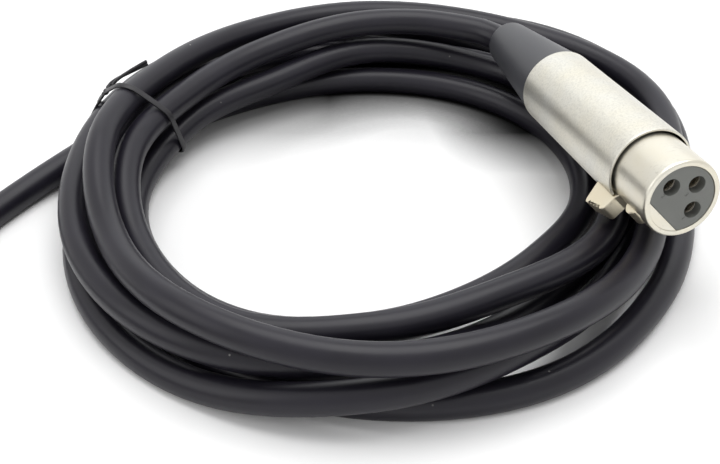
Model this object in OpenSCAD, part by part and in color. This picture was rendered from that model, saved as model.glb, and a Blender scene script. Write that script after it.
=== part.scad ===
// XLR cable, hand coiled: one black cable, a female and a male plug, and a twist tie round the turns.
// Units are millimetres. The part lies on z = 0 and the female plug rests on top of the turns.

/* [Cable] */
// Diameter of the cable over its jacket
cable_d = 6.2; // [5.8:0.1:6.4]
// Sides of the tube that stands for the cable
cable_sides = 6; // [6:2:8]
// Rings of that tube in one turn
rings_per_turn = 24; // [24:12:36]
// Diameter of one insulated core
core_d = 1.3; // [1.0:0.1:1.6]
// Distance of each core from the middle of the cable
core_pitch = 1.4; // [1.2:0.1:1.7]

/* [Contacts] */
// Diameter of a male pin
pin_d = 2.39; // [2.2:0.01:2.5]
// Distance of each contact from the middle of the plug
contact_pitch = 3.75; // [3.5:0.05:3.95]
// Outer diameter of a female contact sleeve
sleeve_d = 3.4; // [3.1:0.05:3.6]
// Running clearance of a pin in its sleeve, on the radius
pin_clear = 0.05; // [0.02:0.01:0.1]
// Depth of each female contact behind the face of its insert
entry_depth = 1.8; // [0.5:0.1:4]
// Length of a male pin that shows in its socket
pin_len = 11.5; // [9:0.5:13]
// Length of the taper at a male pin's tip
pin_taper = 0.7; // [0.4:0.1:1]
// Diameter of a male pin's shank, inside the insert
shank_d = 3.2; // [2.8:0.1:3.4]
// Depth of the solder cup at the back of a contact
cup_depth = 4; // [3:0.5:6]

/* [Female plug] */
// Diameter of the nose
nose_d = 15.9; // [15.6:0.1:16]
// Length of the nose in front of the shell
nose_len = 12; // [10:0.5:14]
// Wall of the nose
nose_wall = 1.2; // [0.9:0.1:1.5]
// Bevel on the front edge of the nose
nose_bevel = 0.5; // [0.3:0.1:0.8]
// Length of the nose that sits inside the shell
nose_root = 11; // [9:0.5:12]
// Thickness of the metal segment that closes the nose over the latch channel
nose_cap = 2.4; // [1.5:0.1:3]
// Depth of the room for the latch, from the back bore of the shell to the flat on the insert
latch_room = 2.95; // [2.8:0.05:3.4]
// Length of the insert
insert_len = 29; // [28:0.5:31]
// Depth of the insert's face behind the rim of the nose
insert_recess = 0.2; // [0.1:0.1:1]

/* [Shells] */
// Wall of the female shell's lip round the nose
lip_wall = 0.9; // [0.8:0.05:1.2]
// Outer diameter of a shell at its back
shell_back_d = 17; // [16.8:0.1:17.4]
// Length of the female shell
shell_len = 42; // [38:1:46]
// Wall of a shell at its back
shell_wall = 0.8; // [0.7:0.05:1]
// Length of the shell's narrow bore behind the root of the nose
root_room = 0.5; // [0.2:0.1:1]
// Depth of the ring-shaped groove between the nose and the female shell's lip
lip_groove = 0.8; // [0.3:0.1:1.5]
// Width of that groove
lip_groove_w = 0.4; // [0.2:0.05:0.5]
// Rounding of the shell's edges
edge_r = 0.4; // [0.1:0.05:0.5]

/* [Latch] */
// Width of the latch and its button
latch_w = 4; // [3:0.25:5]
// Gap at each side of the latch
latch_gap = 0.25; // [0.15:0.05:0.4]
// Height of the latch's bar
latch_bar = 1.0; // [0.8:0.1:1.2]
// Depth of the bar's face below the face of the nose
latch_sink = 0.35; // [0.2:0.05:0.6]
// Height of the latch's arm over the pivot, behind the button
arm_rise = 0.2; // [0.1:0.1:0.4]
// Length of the button in front of the shell's lip
button_ahead = 0.5; // [0.2:0.1:1]
// Height of the button's back over the shell
button_h = 4.1; // [3:0.1:5]
// Height of the button's front over the shell
button_front_h = 3; // [2:0.1:4]
// Length of the button where it meets the shell
button_len = 7; // [6:0.5:9]
// Slope of the button's back, along the plug
button_slope = 1.4; // [0.5:0.1:2]
// Radius of the round catch on the nose
catch_r = 1.8; // [1.4:0.05:2]
// Height of the catch over the nose
catch_h = 0.95; // [0.5:0.05:1.05]
// Distance of the catch behind the front of the nose
catch_back = 6.1; // [5.5:0.1:7]
// Room round the catch in the male shell
catch_room = 0.4; // [0.2:0.1:0.6]
// Diameter of the latch's pivot pin
pivot_d = 1.4; // [1:0.1:1.6]
// Distance of the pivot behind the front of the nose
pivot_back = 25.5; // [25:0.25:26.5]
// Metal round the pivot pin, on the radius
hub_wall = 0.8; // [0.6:0.1:1]
// Room between the latch's hub and the insert
hub_room = 0.4; // [0.2:0.1:0.6]
// Length of the pocket for the hub
hub_pocket = 5; // [4.5:0.1:5.5]
// Thickness of each ear that holds the pivot pin
ear_w = 1.2; // [1:0.1:1.4]
// Height of the pivot over the flat on the insert
pivot_up = 0.95; // [0.85:0.05:1.1]
// Running clearance of the pivot pin, on the radius
pivot_clear = 0.05; // [0.02:0.01:0.1]
// Grooves across the button
groove_count = 4; // [3:1:5]
// Distance between two grooves
groove_pitch = 0.97; // [0.8:0.01:1.1]
// Depth of a groove
groove_depth = 0.45; // [0.2:0.05:0.6]
// Thickness of the latch's leaf spring
spring_t = 0.3; // [0.2:0.05:0.4]
// Length of the spring in front of its foot's middle
spring_reach = 11; // [9:0.5:12]
// Distance of the spring's foot in front of the pivot
spring_back = 5.5; // [4.5:0.5:8]
// Length of the spring's foot
spring_foot = 4; // [3:0.5:5]
// Rise of the spring's tip over its foot
spring_rise = 0.35; // [0.2:0.05:0.5]

/* [Cable entry] */
// Length of the boot
boot_len = 28; // [24:1:34]
// Step from a shell's back down to the boot, on the radius
boot_step = 0.3; // [0:0.1:1]
// Wall of the boot round its mouth
boot_end_wall = 0.95; // [0.8:0.05:1.2]
// Clearance of the bush's thread in the shell, on the radius
thread_clear = 0.3; // [0.1:0.05:0.4]
// Length of the bush's thread, inside the shell
bush_thread = 10; // [9:0.5:12]
// Wall of the boot round its room for the bush, measured half way along the boot
boot_wall = 0.2; // [0.1:0.05:0.5]
// Height of the rings on the bush's tail
bush_ring = 0.4; // [0.2:0.1:0.6]
// Length of the bush's tail, inside the boot
bush_tail = 12; // [8:0.5:14]
// Depth of the flared mouth of the boot
mouth_len = 8; // [5:0.5:10]
// Widening of that mouth, on the radius
mouth_flare = 1.05; // [0.9:0.05:1.2]
// Diameter of the chuck that grips the cable
chuck_d = 10.4; // [9.6:0.1:10.8]
// Length of the chuck
chuck_len = 8; // [6:0.5:8.5]
// Length of jacketed cable inside a shell
jacket_in = 6; // [5:0.5:8]
// Length of the chuck in front of the jacket's end
chuck_ahead = 3; // [2:0.5:4]
// Clearance between the cable and the pieces round it, on the radius
cable_clear = 0.1; // [0.05:0.05:0.2]
// Clearance between pieces that are pushed or screwed together, on the radius
seat_clear = 0.1; // [0.05:0.05:0.15]

/* [Male plug] */
// Wall of the male shell round its socket
socket_wall = 1.3; // [1:0.1:1.6]
// Length of the wide front of the male shell
male_front_len = 20; // [18:0.5:24]
// Length of the shoulder behind that front
shoulder_len = 2; // [1:0.5:4]
// Depth of the socket
socket_depth = 14.5; // [13:0.5:16]
// Clearance between a socket and the nose that it takes, on the radius
socket_clear = 0.15; // [0.1:0.05:0.25]
// Thickness of the male insert
male_insert_len = 6; // [4:0.5:8]

/* [Twist tie] */
// Width of the tie
tie_w = 1.3; // [1:0.1:3]
// Thickness of the tie
tie_t = 0.65; // [0.4:0.05:0.7]
// Gap between the tie and the cable
tie_gap = 0.25; // [0.05:0.01:0.3]

/* [Hidden] */
$fn = 64;
tiny = 0.01;

cable_r = cable_d / 2;
steel = "#c9c5b4";
warm_metal = "#d6cfba";
jacket = "#222225";
rubber = "#2b2b2e";
grey_plastic = "#7d7f7a";
silver = "#c8c8cc";
core_colours = ["#c9b27c", "#a83a32", "#e6e2d8"];

// Middle of the turns, seen from the origin
coil_at = [15.5, 29.7];

// The turns as they were laid by hand. One row is one turn, with a value at every 30 degrees:
// how far the cable's middle is from the middle of the turns, and how high it is.
station_step = 30;
turn_radius = [
    [56.5, 56.5, 56.5, 54.5, 50.0, 47.8, 51.2, 53.0, 54.5, 50.9, 48.8, 52.2],
    [52.0, 55.0, 58.0, 53.5, 46.3, 47.3, 51.0, 50.5, 49.0, 43.0, 39.5, 40.5],
    [46.5, 50.0, 51.0, 50.7, 51.0, 53.2, 60.5, 65.0, 67.0, 67.5, 60.5, 56.2],
    [64.0, 73.5, 71.5, 66.5, 60.0, 55.0, 56.2, 58.7, 64.5, 67.0, 65.0, 61.2],
    [58.7, 65.5, 73.0, 71.0, 66.5, 63.5, 62.5, 64.0, 64.5, 58.9, 49.9, 49.0],
    [56.5, 59.5, 65.5, 64.0, 60.0, 56.5, 56.0, 58.0, 60.0, 63.2, 66.0, 65.5],
    [67.5, 78.5, 85.0, 78.0, 67.0, 61.5]];
turn_height = [
    [17.0, 17.0, 17.0, 16.5, 15.0, 14.7, 13.8, 9.0, 7.5, 9.3, 10.5, 10.4],
    [9.0, 7.8, 6.5, 9.3, 8.3, 7.7, 3.5, 2.5, 2.5, 2.5, 2.5, 2.5],
    [2.5, 2.5, 2.5, 2.5, 2.5, 4.0, 3.5, 2.5, 2.6, 8.8, 8.0, 3.0],
    [8.5, 9.5, 10.5, 13.0, 15.0, 17.8, 19.0, 15.0, 17.3, 16.5, 15.5, 11.5],
    [13.2, 7.0, 2.5, 7.5, 9.5, 11.0, 10.5, 9.5, 10.2, 8.2, 2.7, 2.6],
    [2.5, 2.5, 2.5, 3.0, 7.0, 11.0, 9.0, 3.5, 2.5, 2.5, 2.5, 2.5],
    [2.5, 4.0, 3.5, 2.5, 2.5, 2.5]];
// The turns start beside the female boot and end where the lead leaves them
turns_from = 75;
turns_to = 6 * 360 + 120;

// Female plug: middle of its nose's face, its direction and its roll about its own axis
female_at = [57.4, -33.8, 26];
female_pitch = 6.5;
female_heading = -72.7;
female_roll = -49;
female_axis = [cos(female_pitch) * cos(female_heading),
    cos(female_pitch) * sin(female_heading), sin(female_pitch)];
shell_back = nose_len + shell_len;
plug_len = shell_back + boot_len;
jacket_back = shell_back - jacket_in;
// The cable bends inside the mouth of the boot, through these two points
mouth_point = [32.2, 43.8, 16.8];
bend_point = [27, 49, 17];

// Where the lead leaves the turns, straight for a stretch, and its way to the male plug
coil_last = [-40.5, 48.5, 2.5];
lead_route = [[-46, 41, 3], [-57, 26, 4], [-68, 12, 3.5], [-79, -3, 2.5],
    [-87, -18, 2.5], [-92, -33, 3.5], [-94.5, -47, 6.5]];
// The male plug lies on its shell, clear of the turns
male_tail = [-95, -60];
socket_r = nose_d / 2 + socket_clear;
male_front_d = 2 * (socket_r + socket_wall);
male_pitch = atan((male_front_d - shell_back_d) / 2 / (shell_back - male_front_len));
male_back = [male_tail.x, male_tail.y,
    shell_back_d / 2 * cos(male_pitch) - boot_len * sin(male_pitch)];
male_axis = [0, -cos(male_pitch), sin(male_pitch)];

// Sizes that follow from the ones above
nose_r = nose_d / 2;
insert_r = nose_r - nose_wall - seat_clear;
front_bore_r = nose_r + seat_clear / 2;
lip_r = front_bore_r + lip_wall;
shell_bore_d = shell_back_d - 2 * shell_wall;
back_bore_r = shell_bore_d / 2;
insert_flat = back_bore_r - latch_room;
pivot_out = insert_flat + pivot_up;
sleeve_r = sleeve_d / 2;
pocket_r = sleeve_r + seat_clear / 2;
bush_d = shell_bore_d - 2 * thread_clear;
bush_bore_r = chuck_d / 2 + seat_clear;
cable_hole_r = cable_r + cable_clear;
boot_front_r = shell_back_d / 2 - boot_step;
boot_back_r = cable_hole_r + mouth_flare + boot_end_wall;
boot_room_r = (boot_front_r + boot_back_r) / 2 - boot_wall;
bush_tail_d = 2 * (boot_room_r - seat_clear - bush_ring);
chuck_front = jacket_back - chuck_ahead;
contact_back = insert_recess + insert_len + cup_depth;
slot_w = latch_w + 2 * latch_gap;
hub_r = pivot_d / 2 + hub_wall;
latch_out = nose_r - latch_sink;

// --- Route of the cable ---
function at_station(rows, i) =
    let (n = len(rows[0]), last = len(rows) - 1, k = min(i, last * n + len(rows[last]) - 1))
    rows[floor(k / n)][k % n];
function cubic(a, b, c, d, t) =
    (2 * b + (c - a) * t + (2 * a - 5 * b + 4 * c - d) * t * t + (3 * b - a - 3 * c + d) * t * t * t) / 2;
function along(rows, angle) =
    let (i = floor(angle / station_step), t = angle / station_step - i)
    cubic(at_station(rows, i - 1), at_station(rows, i), at_station(rows, i + 1),
        at_station(rows, i + 2), t);
function turn_point(angle) =
    let (r = along(turn_radius, angle))
    [r * cos(angle), r * sin(angle), along(turn_height, angle)];
function turn_points(step) = [for (a = [turns_from:step:turns_to]) turn_point(a)];
function behind(tip, axis, s) = tip - s * axis;
coil_route = concat(
    [behind(female_at, female_axis, jacket_back),
        behind(female_at, female_axis, shell_back + jacket_in),
        behind(female_at, female_axis, plug_len - mouth_len),
        mouth_point, bend_point],
    turn_points(360 / rings_per_turn), [coil_last, lead_route[0]]);
male_at = behind(male_back, male_axis, -plug_len);
lead_points = concat(lead_route,
    [behind(male_at, male_axis, plug_len),
        behind(male_at, male_axis, shell_back + jacket_in),
        behind(male_at, male_axis, jacket_back)]);

// Least gap between one turn and any other, from points 5 degrees apart
fine = concat(turn_points(5), [coil_last], lead_route);
gaps = [for (i = [0:len(fine) - 40], j = [i + 36:len(fine) - 1]) norm(fine[i] - fine[j])];
echo(least_gap_between_turns = min(gaps) - cable_d);

// --- Tube along a route ---
function unit(v) = v / norm(v);
function heading(p, i) = unit(p[min(i + 1, len(p) - 1)] - p[max(i - 1, 0)]);
function ring(p, t, r, n) =
    let (side = unit(cross(t, [0, 0, 1])), up = cross(side, t))
    [for (k = [0:n - 1]) let (q = p + r * (cos(360 * k / n) * side + sin(360 * k / n) * up))
        [q.x, q.y, max(0, q.z)]];
module tube(p, r, n) {
    last = len(p) - 1;
    polyhedron(
        points = [for (i = [0:last]) each ring(p[i], heading(p, i), r, n)],
        faces = concat(
            [for (k = [1:n - 2]) [0, k, k + 1]],
            [for (i = [0:last - 1], k = [0:n - 1]) let (a = i * n + k, b = i * n + (k + 1) % n)
                each [[a, a + n, b], [b, a + n, b + n]]],
            [for (k = [1:n - 2]) [last * n, last * n + k + 1, last * n + k]]));
}

// --- Frames of the two plugs: z points out of the plug's front, x towards the latch ---
module in_coil() {
    translate([coil_at.x, coil_at.y, 0]) children();
}
module in_female() {
    in_coil() translate(female_at) rotate([0, 90 - female_pitch, female_heading])
        rotate([0, 0, female_roll]) children();
}
module in_male() {
    in_coil() translate(male_at) rotate([0, 90 - male_pitch, -90]) rotate([0, 0, 180]) children();
}

// --- Shapes shared by the plugs ---
module at_contact(i, mirrored) {
    angle = [90, -90, 180][i - 1];
    rotate([0, 0, mirrored ? -angle : angle]) translate([contact_pitch, 0, 0]) children();
}
module rod(d, from, to) {
    translate([0, 0, -to]) cylinder(d = d, h = to - from);
}
module chuck() {
    difference() {
        rod(chuck_d, chuck_front, chuck_front + chuck_len);
        rod(2 * cable_hole_r, chuck_front - 1, chuck_front + chuck_len + 1);
        for (a = [0:60:120]) rotate([0, 0, a])
            translate([-chuck_d, -0.3, -chuck_front - chuck_len - 1])
                cube([2 * chuck_d, 0.6, chuck_len - 1.5]);
    }
}
module bush() {
    difference() {
        union() {
            rod(bush_d, shell_back - bush_thread, shell_back);
            rod(bush_tail_d, shell_back - tiny, shell_back + bush_tail);
            for (s = [shell_back + 2:2.5:shell_back + bush_tail - 1])
                rod(bush_tail_d + 2 * bush_ring, s, s + 1);
        }
        rod(2 * bush_bore_r, shell_back - bush_thread - 1, shell_back);
        rod(2 * cable_hole_r, shell_back - tiny, shell_back + bush_tail + 1);
    }
}
module boot() {
    front_r = boot_front_r;
    back_r = boot_back_r;
    room_r = boot_room_r;
    room = bush_tail + 0.2;
    end = plug_len;
    round_r = 0.8;
    rotate_extrude() polygon(concat(
        [[room_r, -shell_back], [front_r - edge_r, -shell_back], [front_r, -shell_back - edge_r]],
        [for (a = [0:15:90]) [back_r - round_r + round_r * cos(a), -end + round_r - round_r * sin(a)]],
        [[cable_hole_r + mouth_flare, -end], [cable_hole_r, -end + mouth_len],
            [cable_hole_r, -shell_back - room], [room_r, -shell_back - room]]));
}
module core(i, mirrored) {
    angle = [90, -90, 180][i - 1] * (mirrored ? -1 : 1);
    dir = [cos(angle), sin(angle), 0];
    start = contact_back - cup_depth + 0.5;
    wire([dir * contact_pitch - [0, 0, start], dir * contact_pitch - [0, 0, contact_back + 1.5],
        dir * (contact_pitch + core_pitch) / 2 - [0, 0, (contact_back + jacket_back) / 2],
        dir * core_pitch - [0, 0, jacket_back - 2], dir * core_pitch - [0, 0, jacket_back]],
        core_d / 2);
}
function smooth(p, n) = concat([for (i = [0:len(p) - 2], k = [0:n - 1])
    cubic(p[max(i - 1, 0)], p[i], p[i + 1], p[min(i + 2, len(p) - 1)], k / n)], [p[len(p) - 1]]);
module wire(p, r) {
    q = smooth(p, 3);
    n = 6;
    last = len(q) - 1;
    function disc(c, t) = let (side = unit(cross(t, [0, 1, 0.01])), up = cross(side, t))
        [for (k = [0:n - 1]) c + r * (cos(360 * k / n) * side + sin(360 * k / n) * up)];
    polyhedron(
        points = [for (i = [0:last]) each disc(q[i], heading(q, i))],
        faces = concat(
            [for (k = [1:n - 2]) [0, k, k + 1]],
            [for (i = [0:last - 1], k = [0:n - 1]) let (a = i * n + k, b = i * n + (k + 1) % n)
                each [[a, a + n, b], [b, a + n, b + n]]],
            [for (k = [1:n - 2]) [last * n, last * n + k + 1, last * n + k]]));
}

// --- Cable and tie ---
module cable_coil() {
    color(jacket) in_coil() tube(coil_route, cable_r, cable_sides);
}
module cable_lead() {
    color(jacket) in_coil() tube(lead_points, cable_r, cable_sides);
}

// The tie lies in a plane that leans towards the viewer and crosses the turns nearly squarely
tie_at = [-42.4, 15, 7];
tie_turn = 150.5;
tie_lean = 22.5;
tie_knot = [-58, 18.6, 17.4];
tie_ends = [[-51.1, 29.9, 19], [-61, 13, 14.8]];
tie_out = [cos(tie_turn), sin(tie_turn), 0];
tie_up = [-sin(tie_turn) * sin(tie_lean), cos(tie_turn) * sin(tie_lean), cos(tie_lean)];
tie_normal = cross(tie_out, tie_up);
function off_plane(p) = (p - tie_at) * tie_normal;
function crossing(p, q) = let (k = off_plane(p) / (off_plane(p) - off_plane(q)), c = p + k * (q - p))
    [(c - tie_at) * tie_out, (c - tie_at) * tie_up, 1 / abs(unit(q - p) * tie_normal)];
function crossings(p) = [for (i = [0:len(p) - 2])
    if (off_plane(p[i]) * off_plane(p[i + 1]) < 0 && p[i].x < 0) crossing(p[i], p[i + 1])];
tied = concat(crossings(turn_points(360 / rings_per_turn)), crossings(lead_route));
tie_reach = 8 * cable_d;
tie_floor = (tie_w / 2 * sin(tie_lean) - tie_at.z) / cos(tie_lean);
module tie_outline(grow) {
    hull() for (c = tied) translate([c[0], c[1]]) circle(r = cable_r * c[2] + grow, $fn = 32);
}
module tie_strip(a, b) {
    hull() for (p = [a, b]) translate(p) rotate([0, 0, 62]) cube([tie_w, tie_t, tie_t], center = true);
}
module twist_tie() {
    color(jacket) in_coil() {
        translate(tie_at) rotate([0, 0, tie_turn]) rotate([90 - tie_lean, 0, 0])
            linear_extrude(tie_w, center = true) intersection() {
                difference() {
                    tie_outline(tie_gap + tie_t);
                    tie_outline(tie_gap);
                }
                translate([-tie_reach, tie_floor]) square([2 * tie_reach, tie_reach]);
            }
        for (end = tie_ends) tie_strip(tie_knot, end);
    }
}

// --- Female plug ---
module female_shell() {
    back_r = shell_back_d / 2;
    color(steel) in_female() difference() {
        rotate_extrude() polygon([[front_bore_r, -nose_len - lip_groove],
            [front_bore_r + lip_groove_w, -nose_len - lip_groove],
            [front_bore_r + lip_groove_w, -nose_len], [lip_r - edge_r, -nose_len],
            [lip_r, -nose_len - edge_r],
            [back_r, -shell_back + edge_r], [back_r - edge_r, -shell_back],
            [back_bore_r, -shell_back], [back_bore_r, -nose_len - nose_root - root_room],
            [front_bore_r, -nose_len - nose_root - root_room]]);
        translate([0, -slot_w / 2, -nose_len - button_len])
            cube([lip_r + 1, slot_w, button_len + 1]);
    }
}
module female_nose() {
    inner_r = nose_r - nose_wall;
    total = nose_len + nose_root;
    color(warm_metal) in_female() {
        difference() {
            rotate_extrude() polygon([[inner_r, 0], [nose_r - nose_bevel, 0], [nose_r, -nose_bevel],
                [nose_r, -total], [inner_r, -total]]);
            translate([0, -slot_w / 2, -total - 1])
                cube([nose_r + 1, slot_w, total + 1 - nose_cap]);
        }
        intersection() {
            rod(2 * inner_r + tiny, 0.2, nose_cap);
            translate([insert_flat + 0.1, -nose_r, -nose_cap]) cube([nose_r, 2 * nose_r, nose_cap]);
        }
    }
}
module female_insert() {
    front = insert_recess;
    back = insert_recess + insert_len;
    color(grey_plastic) in_female() difference() {
        union() {
            intersection() {
                rod(2 * insert_r, front, back);
                translate([-insert_r - 1, -insert_r - 1, -back - 1])
                    cube([insert_r + 1 + insert_flat, 2 * insert_r + 2, insert_len + 2]);
            }
            intersection() {
                rod(shell_bore_d - 0.3, pivot_back - 1.8, pivot_back + 2.5);
                union() for (side = [-1, 1])
                    translate([insert_flat - 1, side * (slot_w + ear_w) / 2 - ear_w / 2, -back])
                        cube([back_bore_r, ear_w, insert_len]);
            }
        }
        for (i = [1:3]) at_contact(i, false) rod(2 * pocket_r, front - 1, back + 1);
        translate([pivot_out - hub_r - hub_room, -slot_w / 2, -pivot_back - hub_pocket / 2 - 0.1])
            cube([back_bore_r, slot_w, hub_pocket]);
        translate([pivot_out, 0, -pivot_back]) rotate([90, 0, 0])
            cylinder(d = pivot_d + 0.04, h = shell_bore_d, center = true);
    }
}
module female_contact(i) {
    front = insert_recess + entry_depth;
    bore_r = pin_d / 2 + pin_clear;
    color("#d8c27a") in_female() at_contact(i, false) difference() {
        rod(sleeve_d, front, contact_back);
        rod(2 * bore_r, front - 1, front + pin_len + 1);
        rod(core_d + 0.4, contact_back - cup_depth, contact_back + 1);
    }
}
module female_latch() {
    out = latch_out;
    low = out - latch_bar;
    arm = pivot_out + arm_rise;
    front = nose_len - button_ahead;
    back = front + button_len;
    top = lip_r + button_h;
    front_top = lip_r + button_front_h;
    slope = (top - front_top) / (button_len - button_slope);
    lean = atan(slope);
    color(warm_metal) in_female() difference() {
        rotate([90, 0, 0]) linear_extrude(latch_w, center = true) union() {
            translate([pivot_out, -pivot_back]) circle(r = hub_r);
            translate([low, -back]) square([latch_bar, back - catch_back]);
            translate([arm, -pivot_back]) square([latch_bar, pivot_back - back + 1]);
            translate([arm, -back]) square([out - arm, 1]);
            intersection() {
                translate([nose_r + catch_h - catch_r, -catch_back]) circle(r = catch_r);
                translate([low, -catch_back - catch_r]) square([2 * catch_r, 2 * catch_r]);
            }
            polygon([[out - tiny, -back], [lip_r, -back], [top - 0.4, -back + button_slope],
                [top, -back + button_slope + 0.4], [front_top, -front - 0.4],
                [front_top - 0.4, -front], [lip_r - 0.3, -front], [out - tiny, -front + 0.6]]);
        }
        translate([top, 0, -back + button_slope]) rotate([0, -lean, 0])
            for (k = [0:groove_count - 1]) translate([0, 0, 1.6 + k * groove_pitch])
                rotate([90, 0, 0]) rotate([0, 0, 45])
                    cube([groove_depth * sqrt(2), groove_depth * sqrt(2), latch_w + 2], center = true);
        translate([pivot_out, 0, -pivot_back]) rotate([90, 0, 0])
            cylinder(d = pivot_d + 2 * pivot_clear, h = latch_w + 2, center = true);
    }
}
module female_latch_pin() {
    color(silver) in_female() translate([pivot_out, 0, -pivot_back]) rotate([90, 0, 0])
        cylinder(d = pivot_d, h = slot_w + 2 * ear_w, center = true);
}
module female_latch_spring() {
    foot = insert_flat + 0.02;
    tip = foot + spring_rise;
    half = spring_foot / 2;
    color(silver) in_female() translate([0, 0, spring_back - pivot_back]) rotate([90, 0, 0])
        linear_extrude(latch_w - 1, center = true)
        polygon([[foot, -half], [foot, half], [tip, spring_reach], [tip + spring_t, spring_reach],
            [foot + spring_t, half], [foot + spring_t, -half]]);
}
module female_core(i) {
    color(core_colours[i - 1]) in_female() core(i, false);
}
module female_chuck() {
    color("#3a3a3c") in_female() chuck();
}
module female_bush() {
    color("#303033") in_female() bush();
}
module female_boot() {
    color(rubber) in_female() boot();
}

// --- Male plug ---
module male_shell() {
    front_r = male_front_d / 2;
    back_r = shell_back_d / 2;
    insert_back = socket_depth + male_insert_len;
    color(steel) in_male() difference() {
        rotate_extrude() polygon([[socket_r + edge_r, 0], [front_r - edge_r, 0], [front_r, -edge_r],
            [front_r, -male_front_len], [lip_r, -male_front_len - shoulder_len],
            [back_r, -shell_back + edge_r], [back_r - edge_r, -shell_back],
            [back_bore_r, -shell_back], [back_bore_r, -insert_back],
            [socket_r, -insert_back], [socket_r, -edge_r]]);
        translate([0, -slot_w / 2, -catch_back - catch_r - catch_room])
            cube([nose_r + catch_h + 0.1, slot_w, 2 * (catch_r + catch_room)]);
    }
}
module male_insert() {
    back = socket_depth + male_insert_len;
    color(grey_plastic) in_male() difference() {
        union() {
            rod(2 * (socket_r - seat_clear), socket_depth, back - 0.1);
            rod(2 * insert_r, back - 0.2, contact_back - cup_depth);
        }
        for (i = [1:3]) at_contact(i, true) rod(shank_d + 0.1, socket_depth - 1, contact_back);
    }
}
module male_pin(i) {
    tip = socket_depth - pin_len;
    pin_r = pin_d / 2;
    shank_r = shank_d / 2;
    color("#d8c27a") in_male() at_contact(i, true) difference() {
        rotate_extrude() polygon([[0, -tip], [pin_r / 2, -tip], [pin_r, -tip - pin_taper],
            [pin_r, -socket_depth], [shank_r, -socket_depth], [shank_r, -contact_back],
            [0, -contact_back]]);
        rod(core_d + 0.4, contact_back - cup_depth, contact_back + 1);
    }
}
module male_core(i) {
    color(core_colours[i - 1]) in_male() core(i, true);
}
module male_chuck() {
    color("#3a3a3c") in_male() chuck();
}
module male_bush() {
    color("#303033") in_male() bush();
}
module male_boot() {
    color(rubber) in_male() boot();
}

cable_coil();
cable_lead();
twist_tie();
female_shell();
female_nose();
female_insert();
female_contact(1);  // female_contact_1
female_contact(2);  // female_contact_2
female_contact(3);  // female_contact_3
female_latch();
female_latch_pin();
female_latch_spring();
female_core(1);  // female_core_1
female_core(2);  // female_core_2
female_core(3);  // female_core_3
female_chuck();
female_bush();
female_boot();
male_shell();
male_insert();
male_pin(1);  // male_pin_1
male_pin(2);  // male_pin_2
male_pin(3);  // male_pin_3
male_core(1);  // male_core_1
male_core(2);  // male_core_2
male_core(3);  // male_core_3
male_chuck();
male_bush();
male_boot();
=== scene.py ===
import bpy, bmesh, math
from mathutils import Matrix, Vector
from math import cos, sin, pi, radians


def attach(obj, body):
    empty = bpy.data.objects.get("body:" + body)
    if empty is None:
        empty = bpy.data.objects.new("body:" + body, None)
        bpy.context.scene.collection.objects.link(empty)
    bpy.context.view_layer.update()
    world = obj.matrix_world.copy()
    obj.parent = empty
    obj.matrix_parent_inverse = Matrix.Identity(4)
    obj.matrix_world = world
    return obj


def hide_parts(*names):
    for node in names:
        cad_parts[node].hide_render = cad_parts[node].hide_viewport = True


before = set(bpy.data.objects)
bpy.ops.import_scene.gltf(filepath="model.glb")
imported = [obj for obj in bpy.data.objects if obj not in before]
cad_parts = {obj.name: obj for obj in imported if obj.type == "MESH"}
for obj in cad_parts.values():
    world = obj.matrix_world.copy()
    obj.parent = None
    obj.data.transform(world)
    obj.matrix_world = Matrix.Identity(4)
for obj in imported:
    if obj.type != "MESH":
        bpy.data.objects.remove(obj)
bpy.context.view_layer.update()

MM = 0.001
scene = bpy.context.scene

# ---------------------------------------------------------------- camera
COIL_AT = Vector((15.5, 29.7, 0))
CAMERA_AT = Vector((-2.4, -221.7, 160))
CAMERA_DOWN = 37
cam_data = bpy.data.cameras.new("camera")
cam_data.sensor_width = 36
cam_data.lens = 62.25
cam_data.clip_start = 0.01
cam = bpy.data.objects.new("camera", cam_data)
cam.location = (COIL_AT + CAMERA_AT) * MM
cam.rotation_euler = (radians(90 - CAMERA_DOWN), 0, 0)
scene.collection.objects.link(cam)
scene.camera = cam

# ---------------------------------------------------------------- route of the cable, in millimetres
# The numbers from here to tail repeat part.scad. One row is one turn, with a value every 30 degrees:
# the distance from the middle of the turns, and the height.
STATION_STEP = 30
RADIUS = [
    [56.5, 56.5, 56.5, 54.5, 50.0, 47.8, 51.2, 53.0, 54.5, 50.9, 48.8, 52.2],
    [52.0, 55.0, 58.0, 53.5, 46.3, 47.3, 51.0, 50.5, 49.0, 43.0, 39.5, 40.5],
    [46.5, 50.0, 51.0, 50.7, 51.0, 53.2, 60.5, 65.0, 67.0, 67.5, 60.5, 56.2],
    [64.0, 73.5, 71.5, 66.5, 60.0, 55.0, 56.2, 58.7, 64.5, 67.0, 65.0, 61.2],
    [58.7, 65.5, 73.0, 71.0, 66.5, 63.5, 62.5, 64.0, 64.5, 58.9, 49.9, 49.0],
    [56.5, 59.5, 65.5, 64.0, 60.0, 56.5, 56.0, 58.0, 60.0, 63.2, 66.0, 65.5],
    [67.5, 78.5, 85.0, 78.0, 67.0, 61.5]]
HEIGHT = [
    [17.0, 17.0, 17.0, 16.5, 15.0, 14.7, 13.8, 9.0, 7.5, 9.3, 10.5, 10.4],
    [9.0, 7.8, 6.5, 9.3, 8.3, 7.7, 3.5, 2.5, 2.5, 2.5, 2.5, 2.5],
    [2.5, 2.5, 2.5, 2.5, 2.5, 4.0, 3.5, 2.5, 2.6, 8.8, 8.0, 3.0],
    [8.5, 9.5, 10.5, 13.0, 15.0, 17.8, 19.0, 15.0, 17.3, 16.5, 15.5, 11.5],
    [13.2, 7.0, 2.5, 7.5, 9.5, 11.0, 10.5, 9.5, 10.2, 8.2, 2.7, 2.6],
    [2.5, 2.5, 2.5, 3.0, 7.0, 11.0, 9.0, 3.5, 2.5, 2.5, 2.5, 2.5],
    [2.5, 4.0, 3.5, 2.5, 2.5, 2.5]]
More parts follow.
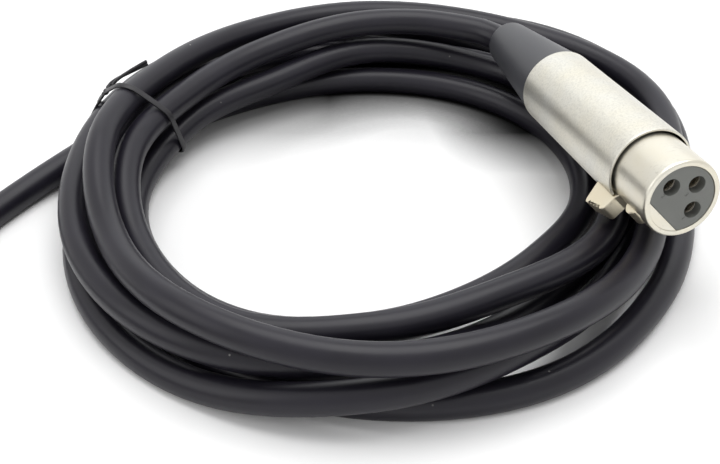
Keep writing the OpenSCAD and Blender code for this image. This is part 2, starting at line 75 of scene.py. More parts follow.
FROM, TO = 75, 6 * 360 + 120
CABLE_R = 3.1
# Distances behind the front of a plug
JACKET_BACK, SHELL_BACK, PLUG_LEN = 48.0, 54.0, 82.0
JACKET_IN, MOUTH_LEN = 6, 8
BOOT_LEN = PLUG_LEN - SHELL_BACK
SHELL_BACK_D, MALE_FRONT_D, MALE_FRONT_LEN = 17, 18.8, 20

female_at = Vector((57.4, -33.8, 26))
F_PITCH, F_HEAD, F_ROLL = 6.5, -72.7, -49
f_axis = Vector((cos(radians(F_PITCH)) * cos(radians(F_HEAD)),
                 cos(radians(F_PITCH)) * sin(radians(F_HEAD)), sin(radians(F_PITCH))))
# The male plug lies on its shell, so it tips by the taper of the shell
M_PITCH = math.atan((MALE_FRONT_D - SHELL_BACK_D) / 2 / (SHELL_BACK - MALE_FRONT_LEN))
m_axis = Vector((0, -cos(M_PITCH), sin(M_PITCH)))
male_back = Vector((-95, -60, SHELL_BACK_D / 2 * cos(M_PITCH) - BOOT_LEN * sin(M_PITCH)))
male_at = male_back + m_axis * PLUG_LEN
R_ALL = [v for r in RADIUS for v in r]
Z_ALL = [v for r in HEIGHT for v in r]


def cubic(a, b, c, d, t):
    """The smooth curve through four values, between the middle two."""
    return (2 * b + (c - a) * t + (2 * a - 5 * b + 4 * c - d) * t * t + (3 * b - a - 3 * c + d) * t ** 3) / 2


def along(rows, angle):
    i = int(angle // STATION_STEP)
    t = angle / STATION_STEP - i
    g = [rows[min(k, len(rows) - 1)] for k in (i - 1, i, i + 1, i + 2)]
    return cubic(*g, t)


def turn_point(angle):
    r = along(R_ALL, angle)
    return Vector((r * cos(radians(angle)), r * sin(radians(angle)), along(Z_ALL, angle)))


def catmull(points, step):
    """The smooth curve through all points, cut about every step."""
    out = []
    for i in range(len(points) - 1):
        a, b, c, d = (points[max(0, min(len(points) - 1, k))] for k in (i - 1, i, i + 1, i + 2))
        n = max(1, round((c - b).length / step))
        out += [Vector([cubic(a[k], b[k], c[k], d[k], j / n) for k in range(3)]) for j in range(n)]
    return out + [points[-1].copy()]


TURN_STEP = 3
PATH_STEP = 3.0
turns = [turn_point(a) for a in range(FROM, TO + 1, TURN_STEP)]
start = [female_at - f_axis * s for s in (JACKET_BACK, SHELL_BACK + JACKET_IN, PLUG_LEN - MOUTH_LEN)]
start += [Vector((32.2, 43.8, 16.8)), Vector((27, 49, 17))]
lead = [Vector(p) for p in ((-40.5, 48.5, 2.5), (-46, 41, 3), (-57, 26, 4), (-68, 12, 3.5), (-79, -3, 2.5),
                            (-87, -18, 2.5), (-92, -33, 3.5), (-94.5, -47, 6.5))]
end = [male_at - m_axis * s for s in (PLUG_LEN, SHELL_BACK + JACKET_IN, JACKET_BACK)]
# The head runs on into the turns, so that it meets them smoothly, and is cut where they start
head = catmull(start + [turns[0], turns[3]], PATH_STEP)
head = head[:min(range(len(head)), key=lambda i: (head[i] - turns[0]).length)]
tail = catmull([turns[-1]] + lead + end, PATH_STEP)[1:]
laid = head + turns + tail
route = [(p + COIL_AT) * MM for p in laid]


# ---------------------------------------------------------------- meshes
def new_object(name, verts, faces, material, body="cable", angle=None):
    """A smooth mesh that rides on a body; edges sharper than angle stay sharp."""
    me = bpy.data.meshes.new(name)
    me.from_pydata([tuple(v) for v in verts], [], faces)
    me.validate()
    me.shade_smooth()
    if angle:
        me.set_sharp_from_angle(angle=radians(angle))
    me.materials.append(material)
    ob = bpy.data.objects.new(name, me)
    scene.collection.objects.link(ob)
    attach(ob, body)
    return ob


def tube_mesh(points, radius, sides, floor):
    """Rings along the points, with a frame carried from ring to ring, pressed flat on the floor."""
    verts, faces = [], []
    n = len(points)
    tan = [(points[min(i + 1, n - 1)] - points[max(i - 1, 0)]).normalized() for i in range(n)]
    side = tan[0].cross(Vector((0, 0, 1))).normalized()
    for i, p in enumerate(points):
        side = (side - tan[i] * side.dot(tan[i])).normalized()
        up = side.cross(tan[i])
        for k in range(sides):
            a = 2 * pi * k / sides
            v = p + radius * (cos(a) * side + sin(a) * up)
            v.z = max(v.z, floor)
            verts.append(v)
    for i in range(n - 1):
        for k in range(sides):
            a, b = i * sides + k, i * sides + (k + 1) % sides
            faces.append((a, b, b + sides, a + sides))
    faces.append(tuple(reversed(range(sides))))
    faces.append(tuple((n - 1) * sides + k for k in range(sides)))
    return verts, faces


def joined(parts, place):
    """The parts' verts, each put in its place, and their faces as one mesh."""
    verts, faces = [], []
    for part_verts, part_faces, *_ in parts:
        base = len(verts)
        verts += [place(p) for p in part_verts]
        faces += [tuple(i + base for i in face) for face in part_faces]
    return verts, faces


# ---------------------------------------------------------------- materials
def node_material(name):
    """A new material with one Principled shader."""
    m = bpy.data.materials.new(name)
    m.use_nodes = True
    nt = m.node_tree
    nt.nodes.clear()
    out = nt.nodes.new("ShaderNodeOutputMaterial")
    bs = nt.nodes.new("ShaderNodeBsdfPrincipled")
    nt.links.new(bs.outputs[0], out.inputs[0])
    return m, nt, bs


def add(nt, kind, inputs=None, **props):
    """A new node: a socket among the inputs is linked, any other value is set."""
    n = nt.nodes.new(kind)
    for k, v in props.items():
        setattr(n, k, v)
    for k, v in (inputs or {}).items():
        if isinstance(v, bpy.types.NodeSocket):
            nt.links.new(v, n.inputs[k])
        else:
            n.inputs[k].default_value = v
    return n


def ramp(nt, fac, stops):
    """The colour at fac between stops of (place, colour)."""
    n = nt.nodes.new("ShaderNodeValToRGB")
    nt.links.new(fac, n.inputs[0])
    e = n.color_ramp.elements
    while len(e) < len(stops):
        e.new(0.5)
    for el, (pos, col) in zip(e, stops):
        el.position = pos
        el.color = (*col, 1) if len(col) == 3 else col
    return n.outputs[0]


def calc(nt, operation, *values):
    return add(nt, "ShaderNodeMath", dict(enumerate(values)), operation=operation).outputs[0]


def vector_calc(nt, operation, *values):
    return add(nt, "ShaderNodeVectorMath", dict(enumerate(values)), operation=operation)


def spread(nt, value, low, high, to_low=0.0, to_high=1.0):
    """The value carried from low..high to to_low..to_high, and held beyond both."""
    return add(nt, "ShaderNodeMapRange", {"Value": value, "From Min": low, "From Max": high,
                                          "To Min": to_low, "To Max": to_high}).outputs[0]


def mixed(nt, fac, a, b, **props):
    return add(nt, "ShaderNodeMix", {0: fac, 6: a, 7: b}, data_type="RGBA", **props).outputs[2]


def noise(nt, vector, scale, detail, **inputs):
    inputs = {"Vector": vector, "Scale": scale, "Detail": detail, **inputs}
    return add(nt, "ShaderNodeTexNoise", inputs).outputs[0]


def seen_directly(nt):
    """1 for rays from the camera or off a glossy surface, which see the background white."""
    path = add(nt, "ShaderNodeLightPath")
    return calc(nt, "MAXIMUM", path.outputs["Is Camera Ray"], path.outputs["Is Glossy Ray"])


def grey(v):
    return (v, v, v)


def plastic(name, base, rough, grain=0.25, bump=0.02, mottle=0.12, dust=0.0, spec=0.5):
    """A moulded surface: grain and bump in mm, a slow change of tone, and specks of dust where asked."""
    m, nt, bs = node_material(name)
    tc = add(nt, "ShaderNodeTexCoord").outputs["Object"]
    fine = noise(nt, tc, 1 / (grain * MM), 3.0)
    slow = noise(nt, tc, 90.0, 4.0)
    lo = [c * (1 - mottle) for c in base]
    hi = [c * (1 + mottle) for c in base]
    col = ramp(nt, slow, [(0.3, lo), (0.7, hi)])
    if dust:
        spots = add(nt, "ShaderNodeTexVoronoi", {"Vector": tc, "Scale": 420.0, "Randomness": 1.0})
        near = ramp(nt, spots.outputs["Distance"], [(0.05, grey(1)), (0.11, grey(0))])
        some = ramp(nt, spots.outputs["Color"], [(0.86, grey(0)), (0.9, grey(dust))])
        col = mixed(nt, calc(nt, "MULTIPLY", near, some), col, (0.5, 0.48, 0.46, 1))
    nt.links.new(col, bs.inputs["Base Color"])
    roughness = ramp(nt, slow, [(0.25, grey(rough - 0.05)), (0.75, grey(rough + 0.06))])
    nt.links.new(roughness, bs.inputs["Roughness"])
    b = add(nt, "ShaderNodeBump", {"Height": fine, "Strength": 0.35, "Distance": bump * MM})
    nt.links.new(b.outputs[0], bs.inputs["Normal"])
    bs.inputs["Specular IOR Level"].default_value = spec
    return m


WARM = (1.0, 0.97, 0.9)


def metal(name, base, rough, grain=0.18, bump=0.012, blast=0.0, scuff=0.0):
    """Plated metal: slow warm and cool patches, a blasted grain and short scratches where asked."""
    m, nt, bs = node_material(name)
    tc = add(nt, "ShaderNodeTexCoord").outputs["Object"]
    fine = noise(nt, tc, 1 / (grain * MM), 2.0)
    slow = noise(nt, tc, 120.0, 5.0)
    col = ramp(nt, slow, [(0.3, [c * t for c, t in zip(base, WARM)]), (0.7, base)])
    height = fine
    if blast:
        coarse = noise(nt, tc, 2300.0, 3.0, Roughness=0.75)
        pits = ramp(nt, coarse, [(0.33, grey(1 - blast)), (0.52, grey(1 - blast * 0.25)), (0.68, grey(1))])
        col = mixed(nt, 1.0, col, pits, blend_type="MULTIPLY")
        height = coarse
    if scuff:
        turned = add(nt, "ShaderNodeMapping",
                     {"Vector": tc, "Rotation": (0.5, 0.9, 0.3), "Scale": (900, 2600, 1400)}).outputs[0]
        line = noise(nt, turned, 1.0, 2.0)
        some = ramp(nt, slow, [(0.5, grey(0)), (0.6, grey(scuff))])
        mark = ramp(nt, line, [(0.62, grey(0)), (0.68, grey(1))])
        col = mixed(nt, calc(nt, "MULTIPLY", some, mark), col, (0.22, 0.18, 0.13, 1))
    nt.links.new(col, bs.inputs["Base Color"])
    bs.inputs["Metallic"].default_value = 0.9
    uneven = calc(nt, "MULTIPLY", fine, slow)
    roughness = ramp(nt, uneven, [(0.1, grey(rough - 0.06)), (0.5, grey(rough + 0.08))])
    nt.links.new(roughness, bs.inputs["Roughness"])
    b = add(nt, "ShaderNodeBump", {"Height": height, "Strength": 0.4, "Distance": bump * MM})
    nt.links.new(b.outputs[0], bs.inputs["Normal"])
    return m


jacket_mat = plastic("jacket_pvc", (0.0125, 0.0112, 0.0175), 0.36, grain=0.22, bump=0.015, mottle=0.15,
                     dust=0.6, spec=0.32)
boot_mat = plastic("boot_rubber", (0.048, 0.049, 0.055), 0.42, grain=0.12, bump=0.012, mottle=0.1,
                   dust=0.4, spec=0.42)
tie_mat = plastic("tie_pvc", (0.014, 0.013, 0.016), 0.45, grain=0.2, bump=0.02, spec=0.42)
insert_mat = plastic("insert_plastic", (0.205, 0.21, 0.195), 0.5, grain=0.3, bump=0.02, mottle=0.08, dust=0.3)
mark_mat = plastic("moulded_marks", (0.135, 0.138, 0.128), 0.55, grain=0.3, bump=0.01)
dark_mat = plastic("dark_plastic", (0.035, 0.035, 0.036), 0.5, grain=0.2, bump=0.015)
gap_mat = plastic("gap_shadow", (0.006, 0.005, 0.004), 0.8, grain=0.2, bump=0.0, spec=0.1)
red_mat = plastic("core_red", (0.45, 0.03, 0.025), 0.4, grain=0.3, bump=0.01)
white_mat = plastic("core_white", (0.75, 0.73, 0.68), 0.4, grain=0.3, bump=0.01)
shell_mat = metal("satin_nickel", (0.70, 0.69, 0.635), 0.40, bump=0.02, blast=0.2)
nose_mat = metal("smooth_nickel", (0.68, 0.655, 0.575), 0.33, grain=0.12, bump=0.006, scuff=0.22)
latch_mat = metal("latch_nickel", (0.76, 0.70, 0.56), 0.36, grain=0.15, bump=0.01, scuff=0.25)
gold_mat = metal("gold_plate", (0.85, 0.66, 0.30), 0.25, grain=0.1, bump=0.004)
# The contacts' grey plate is partly their own colour and partly painted shade: it is kept dark so that the
# insides of the holes look dark.
contact_mat = metal("contact_plate", (0.42, 0.40, 0.36), 0.22, grain=0.1, bump=0.004)
steel_mat = metal("spring_steel", (0.6, 0.6, 0.6), 0.3, grain=0.1, bump=0.004)
copper_mat = metal("copper_screen", (0.62, 0.35, 0.2), 0.4, grain=0.3, bump=0.02)


def material_of(node):
    """The finish of a CAD node, from its name."""
    if node.startswith("cable"):
        return jacket_mat
    if node.endswith("_shell"):
        return shell_mat
    if node.endswith("insert"):
        return insert_mat
    if node.endswith("boot"):
        return boot_mat
    if "contact" in node:
        return contact_mat
    if "male_pin" in node:
        return gold_mat
    return {"twist_tie": tie_mat, "female_nose": nose_mat, "female_latch": latch_mat,
            "female_latch_pin": steel_mat, "female_latch_spring": steel_mat,
            "female_core_1": copper_mat, "female_core_2": red_mat, "female_core_3": white_mat,
            "male_core_1": copper_mat, "male_core_2": red_mat, "male_core_3": white_mat}.get(node, dark_mat)


for n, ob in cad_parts.items():
    ob.data.materials.clear()
    ob.data.materials.append(material_of(n))

# ---------------------------------------------------------------- the cable
cable = new_object("cable", *tube_mesh(route, CABLE_R * MM, 32, floor=0.05 * MM), jacket_mat)
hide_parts("cable_coil", "cable_lead")

# ---------------------------------------------------------------- the twist tie
# It lies in a plane that crosses the turns nearly squarely, tight round them and a little loose at
# its knot. TIE_OUT and TIE_UP span the plane, and a pair of numbers is a place in it.
TIE_AT = Vector((-42.4, 15, 7))
TIE_HEAD, TIE_TILT = radians(150.5), radians(22.5)
TIE_OUT = Vector((cos(TIE_HEAD), sin(TIE_HEAD), 0))
TIE_UP = Vector((-sin(TIE_HEAD) * sin(TIE_TILT), cos(TIE_HEAD) * sin(TIE_TILT), cos(TIE_TILT)))
TIE_NORMAL = TIE_OUT.cross(TIE_UP)
KNOT, KNOT_R = (16.8, 11.2), 0.3
TIE_CLEAR = 0.5
# The least height of the tie's surface and of its middle line
SURFACE_LOW, MIDDLE_LOW = 0.04, 0.4
BAND_HALF_WIDE, END_HALF_WIDE, HALF_THICK = 0.68, 0.55, 0.27
# How far the band strays out of its plane, and how much it rocks, on its way round
STRAY, ROCK = 0.3, 0.25
EVEN_STEP, SMOOTHINGS = 0.8, 12


def tie_loop():
    """The line round the knot and all strands that cross the plane, in even steps and smoothed."""
    rounds = [(*KNOT, KNOT_R)]
    for p, q in zip(laid, laid[1:]):
        a, b = (p - TIE_AT).dot(TIE_NORMAL), (q - TIE_AT).dot(TIE_NORMAL)
        # The turns cross the plane twice, and the tie is on their left side
        if a * b < 0 and -80 < p.x < 0:
            c = p + (q - p) * (a / (a - b)) - TIE_AT
            lean = abs((q - p).normalized().dot(TIE_NORMAL))
            rounds.append((c.dot(TIE_OUT), c.dot(TIE_UP), CABLE_R / lean + TIE_CLEAR))
    edge = []
    for deg in range(0, 360, 3):
        d = (cos(radians(deg)), sin(radians(deg)))
        u, v, r = max(rounds, key=lambda k: k[0] * d[0] + k[1] * d[1] + k[2])
        edge.append(Vector((u + r * d[0], v + r * d[1])))
    even = []
    for a, b in zip(edge, edge[1:] + edge[:1]):
        n = max(1, round((b - a).length / EVEN_STEP))
        even += [a.lerp(b, i / n) for i in range(n)]
    for _ in range(SMOOTHINGS):
        even = [(even[i - 1] + even[i] * 2 + even[(i + 1) % len(even)]) / 4 for i in range(len(even))]
    return even


def squared(c):
    """A sine or cosine drawn out, so that a circle's points make a rounded rectangle's."""
    return math.copysign(abs(c) ** 0.6, c)


def ribbon(points, half_wide, half_thick, across, closed=False, sides=12):
    """A strip with a rounded section along the points; across is its width's direction at each."""
    verts, faces, n = [], [], len(points)
    for i, p in enumerate(points):
        before = points[i - 1 if closed else max(i - 1, 0)]
        after = points[(i + 1) % n if closed else min(i + 1, n - 1)]
        t = (after - before).normalized()
        w = (across[i] - t * across[i].dot(t)).normalized()
        h = t.cross(w)
        for k in range(sides):
            a = 2 * pi * k / sides
            q = p + w * half_wide * squared(cos(a)) + h * half_thick * squared(sin(a))
            q.z = max(q.z, SURFACE_LOW)
            verts.append(q)
    for i in range(n if closed else n - 1):
        j = (i + 1) % n
        for k in range(sides):
            m = (k + 1) % sides
            faces.append((i * sides + k, i * sides + m, j * sides + m, j * sides + k))
    if not closed:
        faces += [tuple(range(sides)), tuple((n - 1) * sides + k for k in reversed(range(sides)))]
    return verts, faces


loop = tie_loop()
band, across = [], []
for i, p in enumerate(loop):
    w = TIE_AT + TIE_OUT * p.x + TIE_UP * p.y + TIE_NORMAL * STRAY * sin(6 * pi * i / len(loop))
    w.z = max(w.z, MIDDLE_LOW)
    band.append(w)
    across.append(TIE_NORMAL + TIE_UP * ROCK * sin(4 * pi * i / len(loop)))
parts = [ribbon(band, BAND_HALF_WIDE, HALF_THICK, across, closed=True)]
knot = TIE_AT + TIE_OUT * (KNOT[0] + 0.2) + TIE_UP * KNOT[1]
# One end of the strip is bent down against the outermost strand
END_STEP = 0.35
bent = [knot + TIE_UP * 0.5, knot, Vector((-61.5, 20.1, 14.1)), Vector((-63.4, 19.8, 10.8))]
bent = catmull(bent, END_STEP)
parts.append(ribbon(bent, END_HALF_WIDE, HALF_THICK, [TIE_NORMAL] * len(bent)))
# Two more strands stand up from the knot, twisted once round each other and then nearly straight
TWIST_LEN, SLOW_TWIST_LEN, TWIST_R = 2.4, 40, 0.34
STRAND_HALF_WIDE, STRAND_HALF_THICK = 0.38, 0.32
tip = Vector((-51.3, 29.7, 19.2))
way = [knot - TIE_NORMAL * 0.7, knot, knot + (tip - knot) * 0.35 + Vector((-0.7, 0.2, 0.5)), tip]
way = catmull(way, END_STEP)
for turn in (0, pi):
    strand = []
    run = 0.0
    for i, p in enumerate(way):
        before = way[max(i - 1, 0)]
        t = (way[min(i + 1, len(way) - 1)] - before).normalized()
        side = t.cross(Vector((0, 0, 1))).normalized()
        run += (p - before).length
        twists = run / TWIST_LEN if run < TWIST_LEN else 1 + (run - TWIST_LEN) / SLOW_TWIST_LEN
        a = turn + 2 * pi * twists
        strand.append(p + (side * cos(a) + side.cross(t) * sin(a)) * TWIST_R)
    across = [TIE_NORMAL] * len(strand)
    parts.append(ribbon(strand, STRAND_HALF_WIDE, STRAND_HALF_THICK, across, sides=10))
verts, faces = joined(parts, lambda p: (p + COIL_AT) * MM)
tie = new_object("tie", verts, faces, tie_mat, angle=50)
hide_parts("twist_tie")

# ---------------------------------------------------------------- the female plug's pieces
# Local millimetres: z points out of the plug's front, x towards the latch.
F_MAT = Matrix.Translation((COIL_AT + female_at) * MM) @ Matrix.Rotation(radians(F_HEAD), 4, "Z")
F_MAT = F_MAT @ Matrix.Rotation(radians(90 - F_PITCH), 4, "Y") @ Matrix.Rotation(radians(F_ROLL), 4, "Z")
F_MAT = F_MAT @ Matrix.Scale(MM, 4)
SLOT_HALF = 2.25
SOCKET_R, BORE_R, NOSE_R = 6.75, 8.0, 7.95
SLOT_BACK = -19


def soften(points):
    """A closed outline, in which each corner given as (x, y, radius) is rounded by a short curve."""
    out, n = [], len(points)
    for i, p in enumerate(points):
        r = p[2] if len(p) > 2 else 0
        if r <= 0:
            out.append((p[0], p[1]))
            continue
        c = Vector(p[:2])
        a, b = Vector(points[i - 1][:2]) - c, Vector(points[(i + 1) % n][:2]) - c
        a, b = a.normalized() * min(r, a.length / 2), b.normalized() * min(r, b.length / 2)
        for t in (0, 0.2, 0.4, 0.6, 0.8, 1):
            out.append(tuple(c + a * (1 - t) ** 2 + b * t ** 2))
    return out


def lathe(profile, seg=120, slot=0.0, dark=()):
    """Turns a closed (radius, z) profile. slot is half the width of a straight gap towards +x, and
    dark names the profile's edges that take the piece's second material."""
    verts, faces, mats = [], [], []
    m = len(profile)
    cols = seg + 1 if slot else seg
    for r, z in profile:
        a0 = math.asin(min(1, slot / r)) if slot else 0
        for i in range(cols):
            a = a0 + (2 * pi - 2 * a0) * i / seg
            verts.append(Vector((r * cos(a), r * sin(a), z)))
    for j in range(m):
        k = (j + 1) % m
        for i in range(seg):
            i2 = i + 1 if slot else (i + 1) % seg
            faces.append((j * cols + i, k * cols + i, k * cols + i2, j * cols + i2))
            mats.append(1 if j in dark else 0)
    if slot:
        faces.append(tuple(j * cols for j in reversed(range(m))))
        faces.append(tuple(j * cols + seg for j in range(m)))
        mats += [0, 0]
    return verts, faces, mats


def extrude(outline, half, bevel=0.12):
    """A flat (x, z) outline made half wide to each side along y, with bevelled edges."""
    n = len(outline)
    pts = [Vector(p) for p in outline]
    area = sum(pts[i - 1].x * pts[i].y - pts[i].x * pts[i - 1].y for i in range(n))
    sign = 1 if area > 0 else -1
    small = []
    for i, p in enumerate(pts):
        a, b = (p - pts[i - 1]).normalized(), (pts[(i + 1) % n] - p).normalized()
        t = (a + b).normalized() if (a + b).length > 1e-6 else b
        small.append(p + sign * bevel * Vector((-t.y, t.x)))
    rows = [(small, -half), (pts, -half + bevel), (pts, half - bevel), (small, half)]
    verts = [Vector((p.x, y, p.y)) for row, y in rows for p in row]
    faces = []
    for low in (0, n, 2 * n):
        for i in range(n):
            j = (i + 1) % n
            faces.append((low + i, low + j, low + n + j, low + n + i))
    faces += [tuple(reversed(range(n))), tuple(3 * n + i for i in range(n))]
    return verts, faces, [0] * len(faces)


def female_piece(name, parts, materials, nodes, body="cable", angle=35, shift=(0, 0)):
    """A piece of the plug, from parts of verts, faces and the number of each face's material."""
    verts, faces = joined(parts, lambda p: F_MAT @ (p + Vector((*shift, 0))))
    mats = [number for part in parts for number in part[2]]
    ob = new_object(name, verts, faces, materials[0], body, angle=angle)
    for extra in materials[1:]:
        ob.data.materials.append(extra)
    if len(ob.data.polygons) == len(mats):
        for poly, k in zip(ob.data.polygons, mats):
            poly.material_index = k
    bm = bmesh.new()
    bm.from_mesh(ob.data)
    bmesh.ops.recalc_face_normals(bm, faces=bm.faces)
    bm.to_mesh(ob.data)
    bm.free()
    ob.data.set_sharp_from_angle(angle=radians(angle))
    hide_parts(*nodes)
    return ob


def arc(x, z, r, degrees):
    return [(x + r * cos(radians(a)), z + r * sin(radians(a))) for a in degrees]


def shell_r(z):
    """The shell's radius, which falls evenly from 8.9, at 12.4 behind the front, to 8.5 at its back."""
    return 8.9 - 0.4 * (-z - 12.4) / 41.2


# The slotted front, whose bore is dark, and the whole ring behind it
front = soften([(BORE_R, SLOT_BACK), (BORE_R, -15), (8.42, -15), (8.42, -12, 0.08), (8.9, -12, 0.38),
                (shell_r(SLOT_BACK), SLOT_BACK)])
back = soften([(BORE_R, SLOT_BACK), (shell_r(SLOT_BACK), SLOT_BACK), (SHELL_BACK_D / 2, -SHELL_BACK, 0.35),
               (7.7, -SHELL_BACK), (7.7, -23.5), (BORE_R, -23.5)])
female_piece("female_shell_body", [lathe(front, slot=SLOT_HALF, dark=(0, 1, 2)), lathe(back)],
             [shell_mat, gap_mat], ["female_shell"])

# The nose: its rounded rim, its slotted tube, and the segment that fills the rim beside the insert's flat
RIM_BACK = -2.4
rim = soften([(SOCKET_R, 0, 0.2), (NOSE_R, 0, 0.85), (NOSE_R, RIM_BACK), (SOCKET_R, RIM_BACK)])
tube = [(SOCKET_R, RIM_BACK), (NOSE_R, RIM_BACK), (NOSE_R, -23), (SOCKET_R, -23)]
FLAT_X, FLAT_HALF = 4.851, 4.69
cap = [(FLAT_X, -FLAT_HALF)] + arc(0, 0, 6.74, range(-44, 45, 4)) + [(FLAT_X, FLAT_HALF)]
k = len(cap)
cap_verts = [Vector((x, y, z)) for z in (-0.2, RIM_BACK) for x, y in cap]
cap_faces = [tuple(range(k)), tuple(reversed(range(k, 2 * k)))]
cap_faces += [(i, k + i, k + (i + 1) % k, (i + 1) % k) for i in range(k)]
segment = (cap_verts, cap_faces, [0] * len(cap_faces))
female_piece("female_nose_ring", [lathe(rim), lathe(tube, slot=SLOT_HALF), segment], [nose_mat],
             ["female_nose"])

# A contact is a split sleeve with a flared mouth, and behind it a solid part with its solder cup
CONTACT_CIRCLE = 3.75
HOLE_R, SLEEVE_R, SLEEVE_BACK, SPLIT_HALF = 1.245, 1.7, -14.5, 0.22
sleeve = soften([(HOLE_R, -2.6), (1.52, -2.0, 0.06), (SLEEVE_R, -2.1, 0.06), (SLEEVE_R, SLEEVE_BACK),
                 (HOLE_R, SLEEVE_BACK)])
butt = [(0.001, SLEEVE_BACK), (SLEEVE_R, SLEEVE_BACK), (SLEEVE_R, -33.2), (0.85, -33.2), (0.85, -29.2),
        (0.001, -29.2)]
for i, angle in enumerate((90, -90, 180), 1):
    at = (CONTACT_CIRCLE * cos(radians(angle)), CONTACT_CIRCLE * sin(radians(angle)))
    lathed = [lathe(sleeve, seg=48, slot=SPLIT_HALF), lathe(butt, seg=32)]
    female_piece("female_contact_%d_sleeve" % i, lathed, [contact_mat],
                 ["female_contact_%d" % i], shift=at)

# Small numerals beside the contacts, moulded on the insert
NUMERAL_SIZE, NUMERAL_HALF_THICK, NUMERAL_Z = 1.25, 0.04, -0.19
for text, x, y in (("1", 2.2, 3.7), ("2", 2.2, -3.7), ("3", -1.1, 0.0)):
    curve = bpy.data.curves.new("numeral_" + text, "FONT")
    curve.body, curve.size, curve.extrude = text, NUMERAL_SIZE, NUMERAL_HALF_THICK
    curve.align_x, curve.align_y = "CENTER", "CENTER"
    holder = bpy.data.objects.new("numeral_curve", curve)
    scene.collection.objects.link(holder)
    me = bpy.data.meshes.new_from_object(holder.evaluated_get(bpy.context.evaluated_depsgraph_get()))
    bpy.data.objects.remove(holder)
    me.name = "numeral_" + text
    me.transform(F_MAT @ Matrix.Translation((x, y, NUMERAL_Z)) @ Matrix.Rotation(pi / 2, 4, "Z"))
    me.materials.clear()
    me.materials.append(mark_mat)
    mark = bpy.data.objects.new("numeral_" + text, me)
    scene.collection.objects.link(mark)
    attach(mark, "cable")

# The latch: a button with cross grooves, the bar that runs in the nose's slot with its round catch,
# and the arm back to the pivot
LEVER_HALF = 2.0
GROOVES, FIRST_GROOVE, GROOVE_STEP, GROOVE_HALF, GROOVE_DEPTH = 4, 1.2, 0.97, 0.34, 0.5
BAR_LOW, BAR_TOP, BAR_FRONT, BUTTON_BACK = 6.6, 7.6, -6.1, -18.5
top_back, top_front = Vector((13.0, -16.9)), Vector((11.95, -11.7))
forward = (top_front - top_back).normalized()
inward = Vector((-forward.y, forward.x))
grooves = []
for g in range(GROOVES):
    c = top_back + forward * (FIRST_GROOVE + GROOVE_STEP * g)
    for p in (c - forward * GROOVE_HALF, c + inward * GROOVE_DEPTH, c + forward * GROOVE_HALF):
        grooves.append((p.x, p.y, 0.05))
button = [(7.5, BUTTON_BACK), (8.95, BUTTON_BACK, 0.1), (12.6, -17.25, 0.35), (13.0, -16.8, 0.1)]
button += grooves
button += [(11.9, -11.9, 0.3), (11.5, -11.5, 0.25), (8.6, -11.5, 0.2), (7.5, -11.0)]
bar = [(BAR_LOW, BUTTON_BACK), (BAR_TOP, BUTTON_BACK), (BAR_TOP, BAR_FRONT), (BAR_LOW, BAR_FRONT)]
nub = [(max(BAR_LOW, x), z) for x, z in arc(7.1, BAR_FRONT, 1.8, range(-104, 106, 10))]
PIVOT_Z = -25.5
arm = [(5.9, PIVOT_Z), (6.9, PIVOT_Z), (6.9, BUTTON_BACK), (BAR_TOP, BUTTON_BACK), (BAR_TOP, -17.5),
       (5.9, -17.5)]
hub = arc(5.7, PIVOT_Z, 1.5, range(0, 360, 15))
lever = [extrude(soften(button), LEVER_HALF), extrude(bar, LEVER_HALF, 0.05), extrude(arm, LEVER_HALF, 0.05),
         extrude(hub, LEVER_HALF, 0.1), extrude(nub, LEVER_HALF, 0.22)]
female_piece("female_latch_lever", lever, [latch_mat], ["female_latch"], body="latch", angle=25)

# ---------------------------------------------------------------- floor and light
FLOOR_HALF = 3


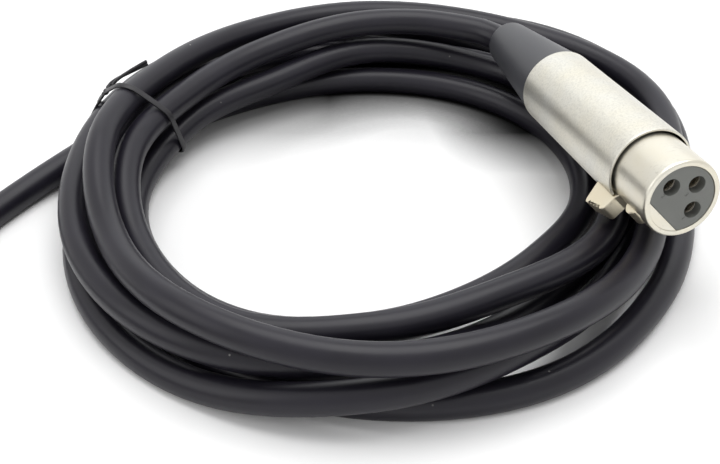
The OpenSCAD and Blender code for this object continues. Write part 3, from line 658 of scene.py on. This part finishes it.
def make_floor():
    """A pale floor with painted shade from an occlusion node: under and beside the strands it is darker, most
    of all inside the turns at the back, and seen directly it turns white further out, with painted light
    added in front."""
    m, nt, bs = node_material("floor")
    place = add(nt, "ShaderNodeTexCoord").outputs["Object"]
    from_middle = vector_calc(nt, "ADD", place, COIL_AT * -MM).outputs[0]
    x, y, _ = add(nt, "ShaderNodeSeparateXYZ", {0: from_middle}).outputs
    inside = spread(nt, vector_calc(nt, "LENGTH", from_middle).outputs["Value"], 0.070, 0.064)
    back_right = calc(nt, "MULTIPLY", spread(nt, y, 0.012, 0.030), spread(nt, x, -0.045, -0.010))
    painted_shade_mask = calc(nt, "MULTIPLY", back_right, inside)
    open_sky = add(nt, "ShaderNodeAmbientOcclusion", {"Distance": 0.022}).outputs["AO"]

    # Painted shade: the colour is darkened by the occlusion only inside the mask, inside the turns at the
    # back
    darker = calc(nt, "SUBTRACT", calc(nt, "POWER", open_sky, 3.8), 1.0)
    shade = calc(nt, "MULTIPLY_ADD", darker, painted_shade_mask, 1.0)
    tint = ramp(nt, noise(nt, place, 300.0, 2.0), [(0.0, grey(0.93)), (1.0, grey(0.95))])
    tint_with_painted_shade = add(nt, "ShaderNodeVectorMath", {0: tint, "Scale": shade}, operation="SCALE").outputs[0]
    nt.links.new(tint_with_painted_shade, bs.inputs["Base Color"])
    bs.inputs["Roughness"].default_value = 0.9
    bs.inputs["Specular IOR Level"].default_value = 0.1

    # The white that is seen directly grows outwards and, as painted light, in front; near the strands the
    # occlusion dims it as painted shade, and it is left out inside the mask
    far = vector_calc(nt, "LENGTH", place).outputs["Value"]
    white = calc(nt, "ADD", spread(nt, far, 0.25, 1.0, 0.15, 0.9), spread(nt, y, -0.045, -0.070, 0.0, 0.16))
    white_after_painted_shade = calc(nt, "MULTIPLY", open_sky, calc(nt, "SUBTRACT", 1.0, painted_shade_mask))
    power = calc(nt, "MULTIPLY", seen_directly(nt), calc(nt, "MULTIPLY", white, white_after_painted_shade))
    em = add(nt, "ShaderNodeEmission", {"Color": (1, 1, 1, 1), "Strength": power})
    sh = add(nt, "ShaderNodeAddShader", {0: bs.outputs[0], 1: em.outputs[0]})
    out = [n for n in nt.nodes if n.type == "OUTPUT_MATERIAL"][0]
    nt.links.new(sh.outputs[0], out.inputs[0])
    me = bpy.data.meshes.new("floor")
    h = FLOOR_HALF
    me.from_pydata([(-h, -h, 0), (h, -h, 0), (h, h, 0), (-h, h, 0)], [], [(0, 1, 2, 3)])
    me.materials.append(m)
    ob = bpy.data.objects.new("floor", me)
    scene.collection.objects.link(ob)


make_floor()


def area_light(name, at, size, power, colour=(1, 1, 1)):
    """A rectangular light that faces the origin."""
    d = bpy.data.lights.new(name, "AREA")
    d.shape = "RECTANGLE"
    d.size, d.size_y = size
    d.energy = power
    d.color = colour
    ob = bpy.data.objects.new(name, d)
    ob.location = at
    ob.rotation_euler = (-Vector(at)).to_track_quat("-Z", "Y").to_euler()
    scene.collection.objects.link(ob)


area_light("top", (0.05, 0.12, 0.75), (0.8, 0.6), 4.7)
area_light("left", (-0.7, -0.2, 0.4), (0.5, 0.5), 1.0)
area_light("back", (0.1, 0.95, 0.45), (1.4, 0.5), 1.3, (0.93, 0.96, 1.0))

world = bpy.data.worlds.new("world")
scene.world = world
world.use_nodes = True
tree = world.node_tree
tree.nodes.clear()
strength = spread(tree, seen_directly(tree), 0.0, 1.0, 0.40, 1.0)
sky = add(tree, "ShaderNodeBackground", {"Color": (1, 1, 1, 1), "Strength": strength})
add(tree, "ShaderNodeOutputWorld", {0: sky.outputs[0]})

scene.view_settings.view_transform = "Standard"
